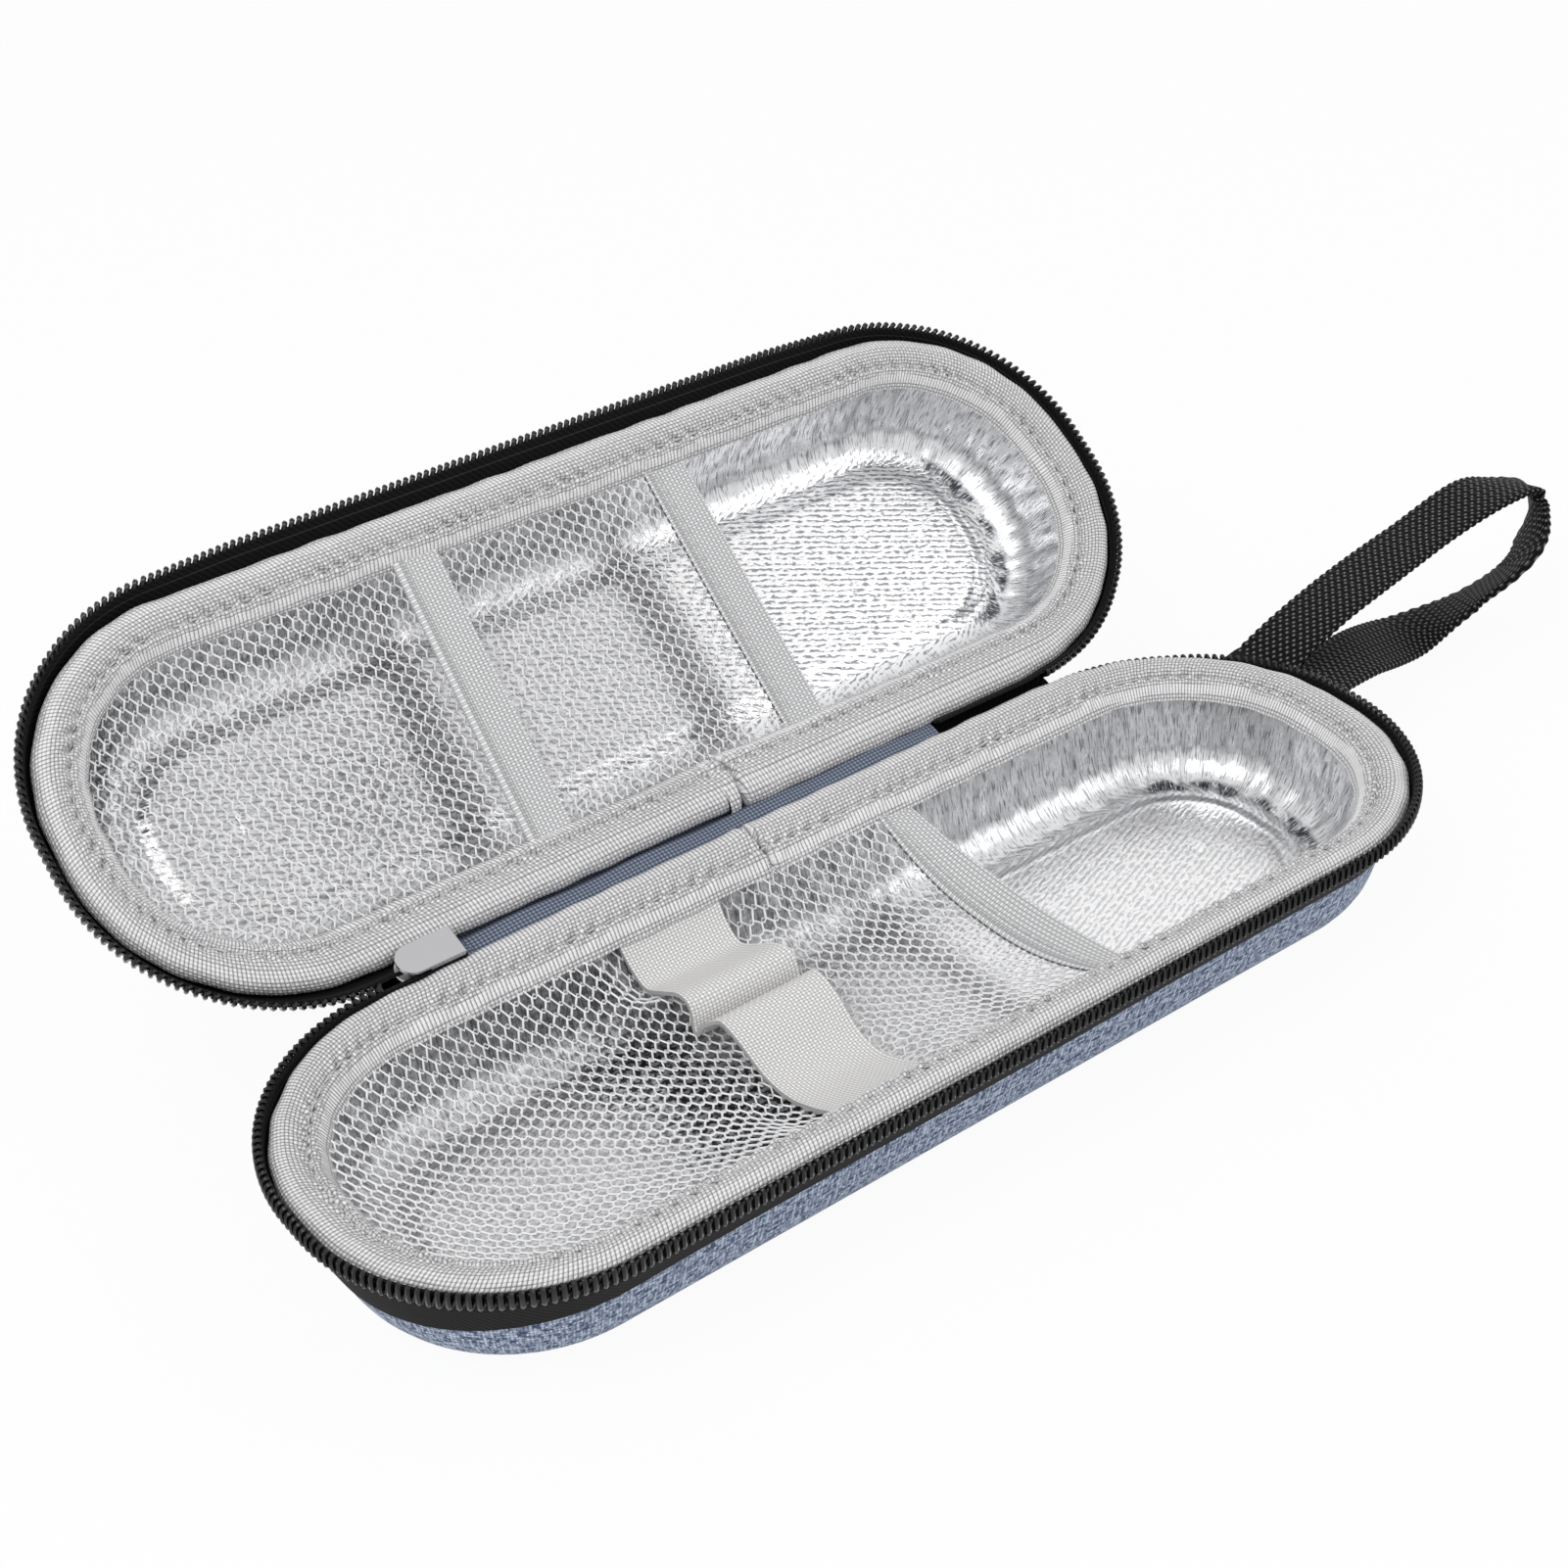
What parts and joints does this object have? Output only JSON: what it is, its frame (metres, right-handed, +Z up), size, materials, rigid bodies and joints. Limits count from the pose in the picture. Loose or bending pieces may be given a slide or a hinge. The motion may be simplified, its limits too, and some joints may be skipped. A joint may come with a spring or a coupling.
{
  "type": "insulin cooling case",
  "caption": "Hard-shell insulated zip case for injection pens, open, with a fabric hinge, foil-lined trays, mesh pockets, a pen elastic and a webbing wrist loop.",
  "frame": {"origin": "centre of the flat underside of the base, where the case stands on a table", "axes": "+X along the case towards the wrist loop, +Y across the case towards the hinge and the lid, +Z up out of the open base"},
  "size_m": [0.2913, 0.1373, 0.0675],
  "materials": {
    "outer_denim": "heathered blue woven polyester",
    "shell_foam": "dark closed-cell foam",
    "foil": "bright crinkled foil film",
    "binding_cloth": "light grey ribbed ribbon",
    "elastic_cloth": "light grey knitted elastic",
    "net_cloth": "pale grey knitted net",
    "black_webbing": "black woven polyester",
    "black_coil": "black nylon coil",
    "hinge_cloth": "plain blue weave",
    "satin_metal": "satin plated zinc"
  },
  "bodies": {
    "base": {"base_fabric_cover": "outer_denim", "base_foam_shell": "shell_foam", "base_foil_lining": "foil", "base_binding_tape": "binding_cloth", "base_zipper_tape": "black_webbing", "base_zipper_chain": "black_coil", "base_hinge_fabric": "hinge_cloth", "base_pocket_net": "net_cloth", "base_pocket_edge_band": "binding_cloth", "base_pen_elastic": "elastic_cloth", "strap_root": "black_webbing"},
    "lid": {"lid_fabric_cover": "outer_denim", "lid_foam_shell": "shell_foam", "lid_foil_lining": "foil", "lid_binding_tape": "binding_cloth", "lid_zipper_tape": "black_webbing", "lid_zipper_chain": "black_coil", "lid_hinge_fabric": "hinge_cloth", "lid_left_pocket_net": "net_cloth", "lid_left_edge_band": "binding_cloth", "lid_middle_pocket_net": "net_cloth", "lid_middle_edge_band": "binding_cloth"},
    "zip_end": {"zipper_chain_end": "black_coil"},
    "zip_slider": {"zipper_slider": "satin_metal"},
    "zip_pull": {"zipper_pull": "satin_metal"},
    "wrist_loop": {"wrist_strap": "black_webbing"}
  },
  "joints": [
    {"name": "lid_hinge", "type": "hinge", "parent": "base", "child": "lid", "pos_m": [0, 0.0369, 0.024], "axis": [1, 0, 0], "range_deg": [-35.6, 144.4]},
    {"name": "zip_end_turn", "type": "hinge", "parent": "base", "child": "zip_end", "pos_m": [0, 0.0369, 0.024], "axis": [1, 0, 0], "range_deg": [-17.8, 72.2]},
    {"name": "slider_slide", "type": "slide", "parent": "zip_end", "child": "zip_slider", "axis": [-1, 0, 0], "range_m": [0, 0.006]},
    {"name": "pull_swing", "type": "hinge", "parent": "zip_slider", "child": "zip_pull", "pos_m": [-0.05855, 0.03756, 0.02195], "axis": [0, 0.9521, 0.3057], "range_deg": [-55, 75]},
    {"name": "strap_swing", "type": "hinge", "parent": "base", "child": "wrist_loop", "pos_m": [0.10197, 0.0139, 0.0209], "axis": [0.1908, -0.9816, 0], "range_deg": [0, 75]}
  ],
  "couplings": [
    {"joint": "zip_end_turn", "follows": "lid_hinge", "ratio": 0.5}
  ]
}
